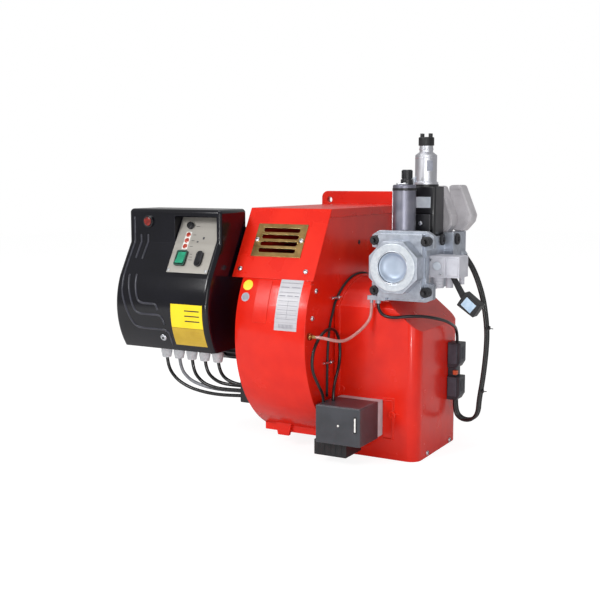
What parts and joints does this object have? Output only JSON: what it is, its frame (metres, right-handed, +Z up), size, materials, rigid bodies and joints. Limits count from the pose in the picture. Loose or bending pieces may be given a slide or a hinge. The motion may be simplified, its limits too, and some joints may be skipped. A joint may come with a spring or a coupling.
{
  "type": "industrial gas burner",
  "caption": "Forced-draught gas burner: red fan casting with air box and damper, sloping control box, gas valve train, boiler flange and blast tube",
  "frame": {"origin": "centre of the boiler flange's rear face, on the flame axis", "axes": "+X to the right seen from the operator's side, +Y the way the flame goes into the boiler, +Z up"},
  "size_m": [0.6815, 0.7234, 0.6213],
  "materials": {
    "red_enamel": "gloss red stove enamel on cast aluminium and sheet",
    "brass_plate": "satin brass",
    "zinc": "bright zinc plate",
    "heat_steel": "heat-resisting steel, satin",
    "steel_pipe": "drawn steel pipe",
    "porcelain": "glazed porcelain sleeves",
    "black_rubber": "foam rubber seal",
    "shaft_steel": "ground steel",
    "motor_alloy": "die-cast, as cast",
    "motor_black": "satin black",
    "black_plastic": "fine grain black nylon",
    "light_plastic": "white plastic",
    "grey_plastic": "dark grey moulded cover",
    "gloss_black": "gloss black moulding",
    "black_steel": "black oxide and black paint",
    "panel_grey": "light grey panel",
    "dark_green": "dark green bezels",
    "green_rocker": "green rockers",
    "red_button": "red push button",
    "lamp_red": "red lamp lenses",
    "pale_nylon": "pale grey nylon",
    "cast_aluminium": "as-cast aluminium, machined faces",
    "strainer_mesh": "fine wire mesh",
    "coil_black": "moulded coil bodies",
    "brake_chrome": "plated brake body",
    "lilac_plastic": "lilac-grey moulded covers",
    "switch_grey": "grey switch housing",
    "olive_cast": "dull olive-brown casting",
    "dark_connector": "dark grey connector housings",
    "cable_black": "satin black cable sheath",
    "clear_hose": "clear soft hose"
  },
  "bodies": {
    "frame": {"fan_housing": "red_enamel", "access_hood": "red_enamel", "vent_grille": "brass_plate", "hood_screws": "zinc", "boiler_flange": "red_enamel", "blast_tube": "heat_steel", "gas_lance": "steel_pipe", "swirl_disc": "heat_steel", "electrodes": "porcelain", "air_box": "red_enamel", "box_gasket": "black_rubber", "intake_grille": "zinc", "inlet_cone": "zinc", "motor_flange": "motor_alloy", "motor_body": "motor_black", "motor_cowl": "motor_black", "motor_screws": "zinc", "servo_plate": "light_plastic", "servo_cover": "grey_plastic", "servo_terminal_box": "black_plastic", "control_cover": "gloss_black", "control_base": "black_steel", "control_panel": "panel_grey", "switch_bezels": "dark_green", "indicator_lamps": "lamp_red", "fuse_cap": "black_plastic", "control_screws": "zinc", "cable_glands": "pale_nylon", "cable_duct": "black_plastic", "inlet_flange": "cast_aluminium", "inlet_strainer": "strainer_mesh", "valve_body": "cast_aluminium", "valve_screws": "black_steel", "coil_main": "coil_black", "coil_knob": "coil_black", "coil_second": "coil_black", "din_plug": "pale_nylon", "hydraulic_brake": "brake_chrome", "regulator_covers": "lilac_plastic", "pressure_switch": "switch_grey", "outlet_elbow": "olive_cast", "test_plug": "black_plastic", "plug_connectors": "dark_connector", "wall_screws": "zinc", "brass_nipple": "brass_plate", "control_cables": "cable_black", "valve_cables": "cable_black", "connector_cable": "cable_black", "servo_cable": "cable_black", "signal_hose": "clear_hose"},
    "fan": {"impeller": "zinc", "motor_shaft": "shaft_steel", "cooling_fan": "black_plastic"},
    "damper": {"damper_blade": "zinc", "damper_shaft": "shaft_steel"},
    "reset": {"reset_button": "red_button"},
    "power_key": {"power_rocker": "green_rocker"},
    "stage_key": {"stage_rocker": "green_rocker"},
    "brake_adjuster": {"brake_cap": "black_plastic"}
  },
  "joints": [
    {"name": "fan_spin", "type": "hinge", "parent": "frame", "child": "fan", "pos_m": [0, -0.271, -0.156], "axis": [1, 0, 0], "continuous": true},
    {"name": "damper_turn", "type": "hinge", "parent": "frame", "child": "damper", "pos_m": [0.173, -0.271, -0.287], "axis": [0, 1, 0], "range_deg": [0, 90]},
    {"name": "reset_press", "type": "slide", "parent": "frame", "child": "reset", "axis": [0, 1, 0], "range_m": [0, 0.003], "stiffness_N_per_m": 1500, "springref_m": -0.001},
    {"name": "power_rocker_tilt", "type": "hinge", "parent": "frame", "child": "power_key", "pos_m": [-0.174, -0.50298, 0.00084], "axis": [1, 0, 0], "range_deg": [0, 14]},
    {"name": "stage_rocker_tilt", "type": "hinge", "parent": "frame", "child": "stage_key", "pos_m": [-0.132, -0.50298, 0.00084], "axis": [1, 0, 0], "range_deg": [0, 14]},
    {"name": "brake_cap_turn", "type": "hinge", "parent": "frame", "child": "brake_adjuster", "pos_m": [0.232, -0.259, 0.216], "axis": [0, 0, 1], "range_deg": [0, 270]}
  ]
}
